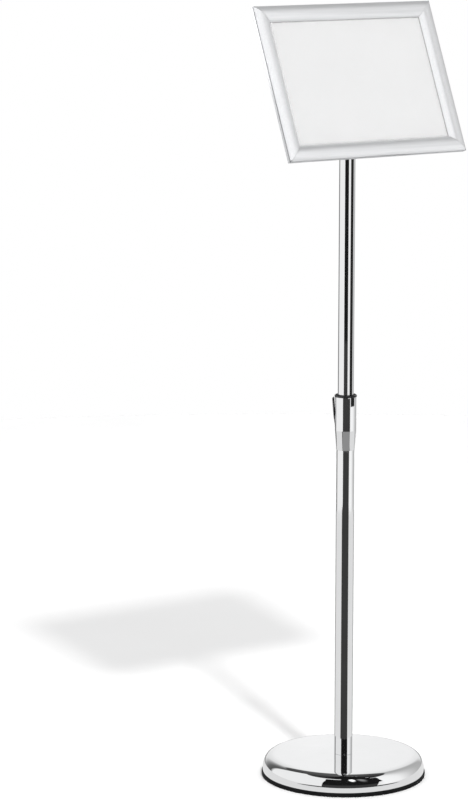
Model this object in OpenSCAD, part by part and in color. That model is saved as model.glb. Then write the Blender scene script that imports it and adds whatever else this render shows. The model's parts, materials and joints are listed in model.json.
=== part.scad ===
// Height-adjustable sign stand: a weighted round base, a telescopic pole with a lever lock,
// and a landscape snap frame that tilts, swivels and turns. Millimetres, +Z up.
// The origin is on the floor under the pole's axis, and the sign faces -Y.

/* [Base] */
// Outer diameter of the rubber edge ring
base_d = 255; // [240:5:300]
// Height of the base cover at the pole
base_h = 33.5; // [33:0.5:38]
// Height of the rubber edge ring
ring_h = 6.3; // [5.5:0.1:7]
// Diameter of the cast weight
weight_d = 232; // [180:2:232]

/* [Pole] */
// Outer diameter of the lower tube
lower_d = 28; // [28:0.5:30]
// Top of the lower tube above the floor
lower_top = 556; // [550:1:560]
// Outer diameter of the upper tube
upper_d = 25; // [25:0.5:25]
// Wall thickness of both tubes
tube_wall = 1.2; // [1:0.1:1.2]
// How far the upper tube reaches down into the lower one
tube_overlap = 86; // [60:1:110]

/* [Lock] */
// Diameter of the lock collar
collar_d = 33.2; // [33:0.2:36]
// Bottom of the collar's round body
collar_z = 547; // [547:1:547]
// Length of the collar's round body
collar_len = 52; // [52:1:52]
// Length of the cone under the collar
cone_len = 30.5; // [20:0.5:40]
// Direction that the lever faces, in degrees from +X
lever_turn = 144.9; // [0:0.1:360]
// Width of the lever
lever_w = 7; // [6:0.5:7]

/* [Head] */
// Height of the tilt pivot
pivot_z = 1071; // [1000:1:1150]
// Backward lean of the sign from upright
tilt = 23.3; // [0:0.1:60]
// Radius of the eye and the ears round the pivot
eye_r = 10; // [9:0.5:11]
// Radius of the bolt's shank
pivot_r = 3; // [3:0.1:3.5]

/* [Sign] */
// Outer width of the frame
sign_w = 329; // [300:1:420]
// Outer height of the frame
sign_h = 242; // [220:1:300]
// Width of the frame's moulding
rail_w = 25; // [25:1:25]
// Gap at each mitred corner
mitre_gap = 0.15; // [0.1:0.05:0.3]

/* [Hidden] */
SIDES = ["bottom", "right", "top", "left"];
CORNERS = ["bottom_right", "top_right", "top_left", "bottom_left"];
$fn = 96;
// Overshoot of a cutting tool past the face that it cuts
over = 1;
// Radial gap of a shaft that turns or slides in its hole
run_gap = 0.05;
// Radial play of a fixed screw in its hole, and of a washer on its shaft
hole_play = 0.2;
washer_play = 0.1;

// Foot bolt M10, its washers, and the threaded insert in the lower tube
bolt_r = 5;
bolt_head_r = 9.2;
bolt_head_h = 6.4;
bolt_short = 6;
washer_r = 10;
washer_t = 2;
spring_washer_r = 8.8;
spring_washer_t = 2.2;
spring_cut_w = 0.8;
insert_len = 30;
insert_bevel = 1;
grip_at = [8, 18];
grip_r = 0.6;

// Base cover: sheet thickness, rim radius, and the start of the rounded shoulder
cover_t = 1.2;
cover_r = base_d / 2 - 1.5;
cover_rim_z = 8;
shoulder_r = 104;
shoulder_power = 2.5;
shoulder_steps = 14;
crown_drop = 0.5;
crown_r = 40;
// Weight: body with a sloped rim, and a boss that the bolt pulls against the cover
weight_z = 5;
weight_rim_h = 19;
weight_bevel = 1.5;
weight_drop = 6;
weight_slope = 9;
boss_r = 30;
boss_flare = 4;
recess_r = 16;
recess_h = 10;
// Edge ring: bevel, lip that grips the cover's rim, and ledge under the bottom plate
ring_bevel = 0.8;
ring_lip_z = 1.5;
ring_seat_z = weight_z + 1;
ring_in_r = cover_r - 5;
ring_ledge = 2;
// Bottom plate and its three screws
plate_t = 1.5;
plate_z = weight_z - plate_t;
plate_edge_gap = 0.1;
plate_hole_r = 20;
foot_screw_at = 95;
foot_screw_r = 2.5;
foot_screw_len = 10;
foot_head_r = 4.5;
foot_head_h = 2;
foot_socket_r = 1.7;
foot_socket_h = 1.4;

// Tubes
lower_r = lower_d / 2;
lower_in = lower_r - tube_wall;
upper_r = upper_d / 2;
upper_in = upper_r - tube_wall;
upper_top = pivot_z - 19;
upper_bottom = lower_top - tube_overlap;
// Sliding bush: length below the upper tube, spigot inside it, bore wall and bevels
bush_len = 24;
spigot_len = 18;
spigot_wall = 2.2;
bush_bevel = 0.8;
spigot_bevel = 1;

// Collar
collar_r = collar_d / 2;
collar_in = 14.8;
collar_top = collar_z + collar_len;
cone_tip_r = lower_r + 0.2;
// Cap ring: radius, height, outer and top bevels, flare at the upper tube, and spigot
cap_r = collar_r + 0.7;
cap_h = 3.5;
cap_bevel = 1.6;
cap_nose = 0.5;
cap_flare = 1;
cap_spigot = 4;
// Guide bush: radius, and length of its wide head
guide_r = 13.9;
guide_out = guide_r + run_gap;
guide_head = 5;
// Lever slot with the lugs that hold the lever's pin
slot_w = lever_w + 0.5;
slot_z = collar_z + 6;
slot_from = 10;
lug_z = collar_z + 13;
lug_h = 8;
lug_sink = 0.5;
// Grub screw that holds the collar on the lower tube
grub_z = collar_z + 4;
grub_r = 1.5;
grub_sink = 0.3;
grub_socket_r = 0.8;
// Lever: pin place, and the points of its side outline as [radius, height]
pin_r = 1;
pin_half = 4.8;
pin_at = [14.8, collar_z + 17];
barrel_r = 2.1;
lever_top = collar_top - 0.6;
lever_outline = [
    [17.3, lever_top],
    [20.4, lever_top - 2.4],
    [18.7, 568],
    [17.5, 561],
    [16.7, 555],
    [14.4, 555],
    [14.4, 567],
    [17.3, 573]
];
// Rubber pad on the lever's thumb face: thickness, narrowing, start along the top edge
pad_t = 0.5;
pad_inset = 0.75;
pad_start = 0.1;
pad_rise = 0.1;
pad_nose = [18.3, lever_top - pad_rise];
pad_tail = 0.06;
// Brake shoe: width, depth range and height range
shoe_w = 5;
shoe_r = [11, 15];
shoe_z = [557.5, 561.5];
shoe_seat = 12;
// Lever spring: coil, straight leg, and the notch that it sits in
coil_in = 1.1;
coil_out = 1.8;
coil_half = 1.7;
leg = [0.6, 0.8, 6.8];
leg_in = 0.1;
leg_z = coil_in + 0.2;
notch_half = coil_half + 0.2;
notch_from = 11;
notch_low = [6, 4.8];
notch_high = [4.6, 8.5];
notch_drop = 2.6;

// Head plug: shank length, shoulder and its bevel, cross pin, and tongue
plug_len = 26;
plug_bevel = 1;
plug_shoulder = 2;
plug_shoulder_bevel = 0.6;
pin_drop = 12;
cross_pin_r = 1.5;
cross_pin_short = 0.3;
tongue_half = 4.2;
tongue_deep = 8.6;
tongue_len = 18;
// Ears of the tilt bracket on both sides of the tongue, widening toward the disc
washer_gap = 0.8;
ear_in = tongue_half + washer_gap + run_gap;
ear_t = 3.5;
ear_out = ear_in + ear_t;
ear_root = 18;
// Pivot bolt: thread, domed head and socket, with a nut and a disc spring at the other end
thread_len = 7;
dome = [[0, 0], [5.5, 0], [5.5, 1.2], [4.9, 2.3], [3.6, 3.1], [2, 3.5], [0, 3.6]];
dome_socket_r = 2.3;
dome_socket_h = 2;
nut_r = 5.6;
nut_h = 4.2;
nut_collar_r = 4.3;
nut_collar_h = 1.4;
disc_spring_r = 6.2;
disc_spring_t = 0.6;
disc_spring_h = 0.4;
// Heights along the sign's normal, from the pivot
disc_h0 = 25.1;
disc_t = 2.5;
disc_r = 30;
slip_t = 0.5;
slip_edge = 1;
plate_h0 = disc_h0 + disc_t + slip_t;
swivel_t = 2;
swivel_r = 40;
panel_h0 = plate_h0 + swivel_t;
panel_t = 2;
// Swivel rivet: shank, flat front head, and formed rear head as [radius, depth]
rivet_r = 3.2;
rivet_front_r = 7;
rivet_front_h = 1.4;
rivet_rear = [[2.6, 3], [4.3, 1.8], [4.9, 0]];
rivet_window_r = 7.6;
// Countersunk screws that join the panel and the swivel plate
screw_ring_r = 34;
screw_r = 2;
screw_head_r = 3.6;
screw_head_h = 1.6;
screw_socket_r = 1.2;
screw_socket_h = 1;

// Rail profile, [u, w]: u runs inward from the outer edge and w forward from the rear face
rail_h0 = panel_h0 - 1.3;
floor_t = 1.3;
floor_w = 24;
wall_h = 4.8;
wall_t = 4.3;
wall_lip = 0.5;
web_gap = 0.8;
// Hinge bead, and the neck that carries it: how far the neck is sunk into the wall's top,
// and the points of its front edge
neck_sink = 0.2;
hinge_u = 2;
hinge_w = 6.9;
bead_r = 1.1;
neck_low = [0.15, -0.8];
neck_high = [0.9, -0.5];
neck_w = 5.5;
hook_in = bead_r + run_gap;
hook_out = hinge_u;
// Opening of the hook about the hinge, as [distance, angle]
hook_open = [[4, 178], [5, 225], [5, 290], [4, 345]];
flap_t = 1.2;
// Angle by which the arched plate runs into the hook
flap_root = 3;
// The flap's outer face is one arc through these three points
flap_a = [1.4, 8.8];
flap_b = [11.2, 11.8];
flap_c = [rail_w, 5.2];
flap_steps = 12;
// Loose parts in the frame
panel_edge = 8;
poster_edge = 16;
sheet_edge = 15;
poster_t = 0.3;
sheet_t = 0.5;
// Corner keys: arm length, place across the rail, thickness, and the web along the mitre
key_arm = 34;
key_u = [4.5, 7.6];
key_t = 2.4;
web_t = 1;
web_from = 1;
web_len = 7;
post_gap = 0.1;
post_root = [1, 2];
// Leaf springs: place along the rail, length, and side outline as [u, w]
leaf_at = 0.25;
leaf_len = 28;
leaf_t = 0.5;
leaf_outline = [
    [4.5, floor_t],
    [7.6, floor_t],
    [7.6, floor_t + leaf_t],
    [5.1, floor_t + leaf_t],
    [6.3, 7.9],
    [9.6, 9.1],
    [9.4, 9.6],
    [5.8, 8.3],
    [4.5, floor_t + leaf_t]
];

// ---------- helpers ----------

// Solid of revolution from [radius, height] points
module turned(points) {
    rotate_extrude() polygon(points);
}

// Ring with its axis along Z
module ring(r_out, r_in, z0, h) {
    translate([0, 0, z0]) difference() {
        cylinder(r = r_out, h = h);
        translate([0, 0, -over]) cylinder(r = r_in, h = h + 2 * over);
    }
}

// Cylinder along X from x0 to x1
module rod_x(r, x0, x1) {
    translate([x0, 0, 0]) rotate([0, 90, 0]) cylinder(r = r, h = x1 - x0);
}

// Hexagonal socket, cut down from the plane z = 0
module hex_socket(r, depth) {
    translate([0, 0, -depth]) cylinder(r = r, h = depth + over, $fn = 6);
}

// Turns the sign's flat frame (x, up, normal) into place about the tilt pivot
module on_sign() {
    translate([0, 0, pivot_z]) rotate([90 - tilt, 0, 0]) children();
}

// Moves to the outer edge of side n, with y running inward
module at_side(n) {
    rotate([0, 0, 90 * n]) translate([0, -side_reach(n), 0]) children();
}

function side_reach(n) = n % 2 == 0 ? sign_h / 2 : sign_w / 2;
function side_len(n) = n % 2 == 0 ? sign_w : sign_h;

// Extrudes a [u, w] profile along a side, centred
module along_side(len) {
    rotate([90, 0, 90]) linear_extrude(len, center = true) children();
}

// Prism that keeps what lies inside a 45-degree mitre at each end. Nothing comes nearer than
// `near` to the end, and `gap` is left along the mitre.
module mitre_prism(len, near, gap) {
    half = len / 2;
    deep = rail_w + 2 * over;
    linear_extrude(2 * rail_w, center = true) polygon([
        [-half + near + gap, -over],
        [half - near - gap, -over],
        [half - near - gap, near],
        [half - deep - gap, deep],
        [-half + deep + gap, deep],
        [-half + near + gap, near]
    ]);
}

function cross2(p, q) = p[0] * q[1] - p[1] * q[0];
// Centre of the circle through three points
function arc_centre(a, b, c) =
    let (ab = b - a, ac = c - a, d = 2 * cross2(ab, ac))
    a + [ac[1] * (ab * ab) - ab[1] * (ac * ac), ab[0] * (ac * ac) - ac[0] * (ab * ab)] / d;
function angle_of(v) = atan2(v[1], v[0]);
function arc(centre, r, from, to, steps) =
    [for (i = [0:steps]) let (t = from + (to - from) * i / steps) centre + r * [cos(t), sin(t)]];

// Shoulder of the base cover, from the rim up to the crown, moved in by `inset`
function shoulder(inset) = [
    for (i = [0:shoulder_steps])
    let (t = 90 * (1 - i / shoulder_steps))
    [shoulder_r + (cover_r - inset - shoulder_r) * pow(sin(t), 2 / shoulder_power),
     cover_rim_z + (base_h - crown_drop - inset - cover_rim_z) * pow(cos(t), 2 / shoulder_power)]
];

// ---------- base ----------

module base_edge_ring() {
    color("#161616") turned([
        [ring_in_r, 0],
        [base_d / 2 - ring_bevel, 0],
        [base_d / 2, ring_bevel],
        [base_d / 2, ring_h - ring_bevel],
        [base_d / 2 - ring_bevel, ring_h],
        [cover_r, ring_h],
        [cover_r, ring_lip_z],
        [cover_r - cover_t, ring_lip_z],
        [cover_r - cover_t, ring_seat_z],
        [ring_in_r, ring_seat_z],
        [ring_in_r, plate_z],
        [ring_in_r - ring_ledge, plate_z],
        [ring_in_r - ring_ledge, 0]
    ]);
}

module base_cover() {
    hole_r = bolt_r + hole_play;
    color("#d8dadd") turned(concat(
        [[cover_r - cover_t, ring_lip_z], [cover_r, ring_lip_z]],
        shoulder(0),
        [[crown_r, base_h], [hole_r, base_h]],
        [[hole_r, base_h - cover_t], [crown_r, base_h - cover_t]],
        [for (i = [shoulder_steps:-1:0]) shoulder(cover_t)[i]]
    ));
}

module base_weight() {
    hole_r = bolt_r + hole_play;
    under_cover = base_h - cover_t;
    color("#3a3c3e") difference() {
        turned([
            [hole_r, weight_z + recess_h],
            [recess_r, weight_z + recess_h],
            [recess_r, weight_z],
            [weight_d / 2 - weight_bevel, weight_z],
            [weight_d / 2, weight_z + weight_bevel],
            [weight_d / 2, weight_z + weight_rim_h - weight_drop],
            [weight_d / 2 - weight_slope, weight_z + weight_rim_h],
            [boss_r + boss_flare, weight_z + weight_rim_h],
            [boss_r, under_cover],
            [hole_r, under_cover]
        ]);
        foot_screw_places() translate([0, 0, plate_z])
            cylinder(r = foot_screw_r, h = foot_screw_len + over);
    }
}

module foot_screw_places() {
    for (turn = [30:120:270]) rotate([0, 0, turn]) translate([foot_screw_at, 0, 0]) children();
}

module base_bottom_plate() {
    color("#8c8f92") difference() {
        ring(ring_in_r - plate_edge_gap, plate_hole_r, plate_z, plate_t);
        foot_screw_places() cylinder(r = foot_screw_r + hole_play, h = weight_z + over);
    }
}

module bottom_plate_screws() {
    color("#b9bcc0") foot_screw_places() translate([0, 0, plate_z]) {
        cylinder(r = foot_screw_r, h = foot_screw_len);
        rotate([180, 0, 0]) difference() {
            cylinder(r = foot_head_r, h = foot_head_h);
            translate([0, 0, foot_head_h]) hex_socket(foot_socket_r, foot_socket_h);
        }
    }
}

module base_bolt() {
    head_top = weight_z + recess_h - washer_t - spring_washer_t;
    tip = base_h + insert_len - bolt_short;
    color("#b9bcc0") {
        translate([0, 0, head_top - bolt_head_h]) cylinder(r = bolt_head_r, h = bolt_head_h, $fn = 6);
        translate([0, 0, head_top]) cylinder(r = bolt_r, h = tip - head_top);
    }
}

module base_flat_washer() {
    color("#c9ccd0") ring(washer_r, bolt_r + hole_play, weight_z + recess_h - washer_t, washer_t);
}

module base_spring_washer() {
    z = weight_z + recess_h - washer_t - spring_washer_t;
    color("#77797c") difference() {
        ring(spring_washer_r, bolt_r + hole_play, z, spring_washer_t);
        // Slanting cut across one side
        translate([(bolt_r + spring_washer_r) / 2, 0, z + spring_washer_t / 2]) rotate([25, 0, 0])
            cube([bolt_r, spring_cut_w, 4 * spring_washer_t], center = true);
    }
}

// ---------- pole ----------

module foot_insert() {
    color("#9a9da1") difference() {
        turned([
            [bolt_r, base_h],
            [lower_in - insert_bevel, base_h],
            [lower_in, base_h + insert_bevel],
            [lower_in, base_h + insert_len - insert_bevel],
            [lower_in - insert_bevel, base_h + insert_len],
            [bolt_r, base_h + insert_len]
        ]);
        for (z = grip_at)
            rotate_extrude() translate([lower_in, base_h + z]) circle(r = grip_r, $fn = 16);
    }
}

module lower_tube() {
    color("#d8dadd") ring(lower_r, lower_in, base_h, lower_top - base_h);
}

module lock_collar() {
    color("#dcdee0") difference() {
        union() {
            turned([
                [lower_r, collar_z - cone_len],
                [cone_tip_r, collar_z - cone_len],
                [collar_r, collar_z],
                [collar_r, collar_top],
                [collar_in, collar_top],
                [collar_in, lower_top],
                [lower_r, lower_top]
            ]);
            // Lugs inside the wall, where the lever's pin is held
            intersection() {
                ring(collar_in + lug_sink, guide_out, lug_z, lug_h);
                rotate([0, 0, lever_turn]) translate([slot_from, -slot_w, lug_z - over])
                    cube([collar_r - slot_from, 2 * slot_w, lug_h + 2 * over]);
            }
        }
        // Slot for the lever, pin hole across it, and hole for the grub screw
        rotate([0, 0, lever_turn]) {
            translate([slot_from, -slot_w / 2, slot_z])
                cube([collar_r, slot_w, collar_top - slot_z + over]);
            across_lever(pin_r, pin_half);
        }
        rotate([0, 0, lever_turn + 180]) translate([0, 0, grub_z])
            rod_x(grub_r, slot_from, collar_r + over);
    }
}

// Cylinder on the lever pin's axis, in the lever's own direction
module across_lever(r, half) {
    translate([pin_at[0], 0, pin_at[1]]) rotate([90, 0, 0])
        cylinder(r = r, h = 2 * half, center = true);
}

module collar_cap_ring() {
    cap_top = collar_top + cap_h;
    color("#161616") turned([
        [collar_in, collar_top - cap_spigot],
        [collar_in, collar_top],
        [cap_r, collar_top],
        [cap_r, cap_top - cap_bevel],
        [cap_r - cap_nose, cap_top - cap_nose],
        [cap_r - cap_bevel, cap_top],
        [upper_r + cap_flare, collar_top - cap_spigot]
    ]);
}

module collar_bush() {
    bush_top = collar_top - cap_spigot;
    window_top = pin_at[1] + barrel_r + over;
    color("#26282a") difference() {
        union() {
            ring(guide_r, upper_r + run_gap, lower_top, bush_top - lower_top);
            ring(collar_in, upper_r + run_gap, bush_top - guide_head, guide_head);
        }
        // Window for the lever's barrel and brake shoe, and relief behind the lever
        rotate([0, 0, lever_turn]) {
            translate([slot_from, -slot_w / 2, lower_top - over])
                cube([slot_from, slot_w, window_top + over - lower_top]);
            translate([guide_r, -slot_w / 2, lower_top]) cube([slot_from, slot_w, collar_len]);
        }
    }
}

module collar_screw() {
    len = collar_r - lower_r - grub_sink;
    color("#3c3e40") rotate([0, 0, lever_turn + 180]) translate([lower_r, 0, grub_z])
        rotate([0, 90, 0]) difference() {
            cylinder(r = grub_r, h = len);
            translate([0, 0, len]) hex_socket(grub_socket_r, len / 2);
        }
}

module lever_pin() {
    color("#a8abae") rotate([0, 0, lever_turn]) across_lever(pin_r, pin_half);
}

// ---------- lever ----------

module lever_side(width, points) {
    rotate([90, 0, 0]) linear_extrude(width, center = true) polygon(points);
}

module lock_lever() {
    color("#d2d4d6") rotate([0, 0, lever_turn]) difference() {
        union() {
            lever_side(lever_w, lever_outline);
            across_lever(barrel_r, lever_w / 2);
        }
        across_lever(pin_r + run_gap, lever_w);
        // Notch that the spring sits in
        translate([notch_from, -notch_half, pin_at[1] - notch_drop])
            cube([notch_low[0], 2 * notch_half, notch_low[1]]);
        translate([notch_from, -notch_half, pin_at[1]])
            cube([notch_high[0], 2 * notch_half, notch_high[1]]);
        // The brake shoe's seat
        translate([shoe_seat, -shoe_w / 2, shoe_z[0]])
            cube([shoe_r[1] - shoe_seat, shoe_w, shoe_z[1] - shoe_z[0]]);
    }
}

module lever_pad() {
    color("#141414") rotate([0, 0, lever_turn]) lever_side(lever_w - 2 * pad_inset, [
        lever_outline[0] + pad_start * (lever_outline[1] - lever_outline[0]),
        pad_nose,
        lever_outline[1] + [pad_t, pad_rise],
        lever_outline[2] + [pad_tail, 0],
        lever_outline[2],
        lever_outline[1]
    ]);
}

module brake_shoe() {
    color("#7a5a34") rotate([0, 0, lever_turn]) difference() {
        translate([shoe_r[0], -shoe_w / 2, shoe_z[0]])
            cube([shoe_r[1] - shoe_r[0], shoe_w, shoe_z[1] - shoe_z[0]]);
        translate([0, 0, shoe_z[0] - over])
            cylinder(r = upper_r + run_gap, h = shoe_z[1] - shoe_z[0] + 2 * over);
    }
}

module lever_spring() {
    color("#b0b3b6") rotate([0, 0, lever_turn]) translate([pin_at[0], 0, pin_at[1]]) {
        rotate([90, 0, 0]) ring(coil_out, coil_in, -coil_half, 2 * coil_half);
        translate([-leg_in, -leg[1] / 2, leg_z]) cube(leg);
    }
}

// ---------- sliding bush and upper tube ----------

module slide_bush() {
    foot = upper_bottom - bush_len;
    tip = upper_bottom + spigot_len;
    body_r = lower_in - run_gap;
    spigot_r = upper_in - run_gap;
    color("#202224") turned([
        [upper_in - spigot_wall, foot],
        [body_r - bush_bevel, foot],
        [body_r, foot + bush_bevel],
        [body_r, upper_bottom],
        [spigot_r, upper_bottom],
        [spigot_r, tip - spigot_bevel],
        [spigot_r - spigot_bevel, tip],
        [upper_in - spigot_wall, tip]
    ]);
}

module upper_tube() {
    color("#d8dadd") difference() {
        ring(upper_r, upper_in, upper_bottom, upper_top - upper_bottom);
        cross_hole();
    }
}

// Hole for the pin that holds the plug in the upper tube
module cross_hole() {
    translate([0, 0, upper_top - pin_drop]) rod_x(cross_pin_r, -upper_d, upper_d);
}

module head_plug() {
    shank = upper_top - plug_len;
    shoulder_top = upper_top + plug_shoulder;
    color("#a4a7aa") difference() {
        union() {
            turned([
                [0, shank],
                [upper_in - plug_bevel, shank],
                [upper_in, shank + plug_bevel],
                [upper_in, upper_top],
                [upper_r, upper_top],
                [upper_r, shoulder_top - plug_shoulder_bevel],
                [upper_r - plug_shoulder_bevel, shoulder_top],
                [0, shoulder_top]
            ]);
            translate([-tongue_half, -tongue_deep, shoulder_top - over])
                cube([2 * tongue_half, 2 * tongue_deep, tongue_len]);
            translate([0, 0, pivot_z]) rod_x(eye_r, -tongue_half, tongue_half);
        }
        translate([0, 0, pivot_z]) rod_x(pivot_r + run_gap, -upper_d, upper_d);
        cross_hole();
    }
}

module plug_pin() {
    half = upper_r - cross_pin_short;
    color("#8f9296") translate([0, 0, upper_top - pin_drop]) rod_x(cross_pin_r, -half, half);
}

module friction_washers() {
    color("#e8e6df") translate([0, 0, pivot_z]) for (x = [-ear_in + run_gap, tongue_half])
        difference() {
            rod_x(eye_r - slip_edge, x, x + washer_gap);
            rod_x(pivot_r + washer_play, -ear_out, ear_out);
        }
}

// ---------- tilting head ----------

module tilt_bracket() {
    color("#2b2d2f") on_sign() difference() {
        union() {
            translate([0, 0, disc_h0]) cylinder(r = disc_r, h = disc_t);
            for (x = [-ear_out, ear_in]) {
                rod_x(eye_r, x, x + ear_t);
                translate([x, 0, 0]) rotate([90, 0, 90]) linear_extrude(ear_t) polygon([
                    [-eye_r, 0],
                    [eye_r, 0],
                    [ear_root, disc_h0 + over],
                    [-ear_root, disc_h0 + over]
                ]);
            }
        }
        rod_x(pivot_r, -ear_out - over, ear_out + over);
        cylinder(r = rivet_r, h = disc_h0 + disc_t + over);
    }
}

module pivot_bolt() {
    color("#c2c5c8") on_sign() {
        rod_x(pivot_r, -ear_out - thread_len, ear_out);
        translate([ear_out, 0, 0]) rotate([0, 90, 0]) difference() {
            turned(dome);
            translate([0, 0, dome[len(dome) - 1][1]]) hex_socket(dome_socket_r, dome_socket_h);
        }
    }
}

module disc_spring() {
    color("#75787b") on_sign() translate([-ear_out, 0, 0]) rotate([0, -90, 0])
        turned([
            [pivot_r + washer_play, disc_spring_h],
            [disc_spring_r, 0],
            [disc_spring_r, disc_spring_t],
            [pivot_r + washer_play, disc_spring_h + disc_spring_t]
        ]);
}

module pivot_nut() {
    inner = ear_out + disc_spring_h + disc_spring_t;
    outer = inner + nut_h;
    color("#b4b7ba") on_sign() difference() {
        union() {
            translate([-outer, 0, 0]) rotate([0, 90, 0]) cylinder(r = nut_r, h = nut_h, $fn = 6);
            rod_x(nut_collar_r, -outer - nut_collar_h, -outer);
        }
        rod_x(pivot_r, -2 * outer, 0);
    }
}

module swivel_rivet() {
    front = panel_h0 + rivet_front_h;
    color("#c2c5c8") on_sign() turned(concat(
        [[0, disc_h0 - rivet_rear[0][1]]],
        [for (p = rivet_rear) [p[0], disc_h0 - p[1]]],
        [[rivet_r, disc_h0], [rivet_r, panel_h0 + run_gap]],
        [[rivet_front_r, panel_h0 + run_gap], [rivet_front_r, front], [0, front]]
    ));
}

module slip_washer() {
    color("#e8e6df") on_sign()
        ring(disc_r - slip_edge, rivet_r + washer_play, disc_h0 + disc_t, slip_t - run_gap);
}

// ---------- sign ----------

module screw_places() {
    for (turn = [45:90:315]) rotate([0, 0, turn]) translate([screw_ring_r, 0, 0]) children();
}

module swivel_plate() {
    color("#9a9da1") on_sign() difference() {
        ring(swivel_r, rivet_r + run_gap, plate_h0, swivel_t);
        screw_places() translate([0, 0, plate_h0 - over])
            cylinder(r = screw_r, h = swivel_t + 2 * over);
    }
}

module plate_screws() {
    top = panel_h0 + panel_t;
    color("#b9bcc0") on_sign() screw_places() difference() {
        turned([
            [0, plate_h0],
            [screw_r, plate_h0],
            [screw_r, top - screw_head_h],
            [screw_head_r, top],
            [0, top]
        ]);
        translate([0, 0, top]) hex_socket(screw_socket_r, screw_socket_h);
    }
}

module back_panel() {
    top = panel_h0 + panel_t;
    shank_r = screw_r + washer_play;
    head_r = screw_head_r + washer_play;
    color("#26282a") on_sign() difference() {
        sign_sheet(panel_edge, panel_h0, panel_t);
        translate([0, 0, panel_h0 - over]) cylinder(r = rivet_window_r, h = panel_t + 2 * over);
        screw_places() turned([
            [0, panel_h0 - over],
            [shank_r, panel_h0 - over],
            [shank_r, top - screw_head_h],
            [head_r, top],
            [head_r, top + over],
            [0, top + over]
        ]);
    }
}

// Flat sheet centred on the sign, `edge` short of the frame's outside
module sign_sheet(edge, h0, t) {
    translate([-sign_w / 2 + edge, -sign_h / 2 + edge, h0])
        cube([sign_w - 2 * edge, sign_h - 2 * edge, t]);
}

module poster() {
    color("#efefef") on_sign() sign_sheet(poster_edge, panel_h0 + panel_t, poster_t);
}

module cover_sheet() {
    color("#f0f2f3") on_sign() sign_sheet(sheet_edge, panel_h0 + panel_t + poster_t, sheet_t);
}

// Rail: mitred floor, then the outer wall with the hinge bead on its neck
module frame_rail(n) {
    len = side_len(n);
    hinge = [hinge_u, hinge_w];
    color("#b8bbbf") on_sign() translate([0, 0, rail_h0]) at_side(n) {
        intersection() {
            along_side(len) square([floor_w, floor_t]);
            mitre_prism(len, 0, mitre_gap);
        }
        intersection() {
            along_side(len) polygon([
                [0, 0],
                [wall_t, 0],
                [wall_t, wall_h],
                [wall_lip, wall_h],
                [0, wall_h + wall_lip]
            ]);
            mitre_prism(len, 0, web_gap);
        }
        intersection() {
            union() {
                along_side(len) polygon([
                    hinge + neck_low,
                    [hinge_u + neck_low[0], wall_h - neck_sink],
                    [wall_t, wall_h - neck_sink],
                    [wall_t, neck_w],
                    hinge + neck_high
                ]);
                translate([0, hinge_u, hinge_w]) rod_x(bead_r, -len / 2, len / 2);
            }
            mitre_prism(len, hinge_u, mitre_gap);
        }
    }
}

// Two bent leaf springs that hold one flap shut or open
module rail_springs(n) {
    at = side_len(n) * leaf_at;
    color("#909396") on_sign() translate([0, 0, rail_h0]) at_side(n)
        for (x = [-at, at]) translate([x, 0, 0]) along_side(leaf_len) polygon(leaf_outline);
}

// L-shaped key in the channel of two rails. A web runs out along the mitre to a rounded post
// that closes the outer corner between the hooks of the flaps.
module corner_key(n) {
    post = hinge_u - post_gap;
    key_w = key_u[1] - key_u[0];
    arm = key_arm - key_u[0];
    block_h = wall_h - neck_sink - floor_t;
    corner = [side_len(n) / 2, 0, 0];
    color("#9da0a3") on_sign() translate([0, 0, rail_h0]) at_side(n) translate(corner) {
        translate([-key_arm, key_u[0], floor_t]) cube([arm, key_w, key_t]);
        translate([-key_u[1], key_u[0], floor_t]) cube([key_w, arm, key_t]);
        translate([-key_u[1], key_u[0], floor_t]) cube([key_w, key_w, block_h]);
        rotate([0, 0, 45]) translate([-web_t / 2, web_from, 0]) {
            translate([0, 0, floor_t]) cube([web_t, web_len, block_h]);
            translate([0, 0, wall_h - over]) cube([web_t, post_root[0], post_root[1]]);
        }
        intersection() {
            translate([-post, 0, 0]) cube([post, post, hinge_w + hook_out]);
            translate([0, hinge_u, hinge_w]) rod_x(hook_out, -post, 0);
            translate([-hinge_u, 0, hinge_w]) rotate([0, 0, 90]) rod_x(hook_out, 0, post);
        }
    }
}

// Hinged cover of one rail: a hook round the bead, and an arched plate
module flap(n) {
    len = side_len(n);
    hinge = [hinge_u, hinge_w];
    centre = arc_centre(flap_a, flap_b, flap_c);
    r_out = norm(flap_a - centre);
    r_in = r_out - flap_t;
    from = angle_of(flap_a - centre);
    to = angle_of(flap_c - centre);
    inner_from = from - flap_root;
    outer_face = arc(centre, r_out, from, to, flap_steps);
    inner_face = arc(centre, r_in, to, inner_from, flap_steps);
    color("#c3c6ca") on_sign() translate([0, 0, rail_h0]) at_side(n) intersection() {
        union() {
            along_side(len) polygon(concat(outer_face, inner_face));
            difference() {
                translate([0, hinge_u, hinge_w]) rod_x(hook_out, -len / 2, len / 2);
                translate([0, hinge_u, hinge_w]) rod_x(hook_in, -len / 2 - over, len / 2 + over);
                // The hook is open from its heel to its tip
                along_side(len + 2 * over) polygon(concat(
                    [hinge],
                    [for (p = hook_open) hinge + p[0] * [cos(p[1]), sin(p[1])]]
                ));
            }
        }
        mitre_prism(len, hinge_u, mitre_gap);
    }
}

// ---------- every node ----------

base_edge_ring();
base_cover();
base_weight();
base_bottom_plate();
bottom_plate_screws();
base_bolt();
base_flat_washer();
base_spring_washer();
foot_insert();
lower_tube();
lock_collar();
collar_cap_ring();
collar_bush();
collar_screw();
lever_pin();
lock_lever();
lever_pad();
brake_shoe();
lever_spring();
slide_bush();
upper_tube();
head_plug();
plug_pin();
friction_washers();
tilt_bracket();
pivot_bolt();
disc_spring();
pivot_nut();
swivel_rivet();
slip_washer();
swivel_plate();
plate_screws();
back_panel();
poster();
cover_sheet();
for (n = [0:3]) {
    frame_rail(n);
    rail_springs(n);
    corner_key(n);
    flap(n);
}
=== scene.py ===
import json
import math

import bmesh
import bpy
from mathutils import Matrix, Vector


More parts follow.
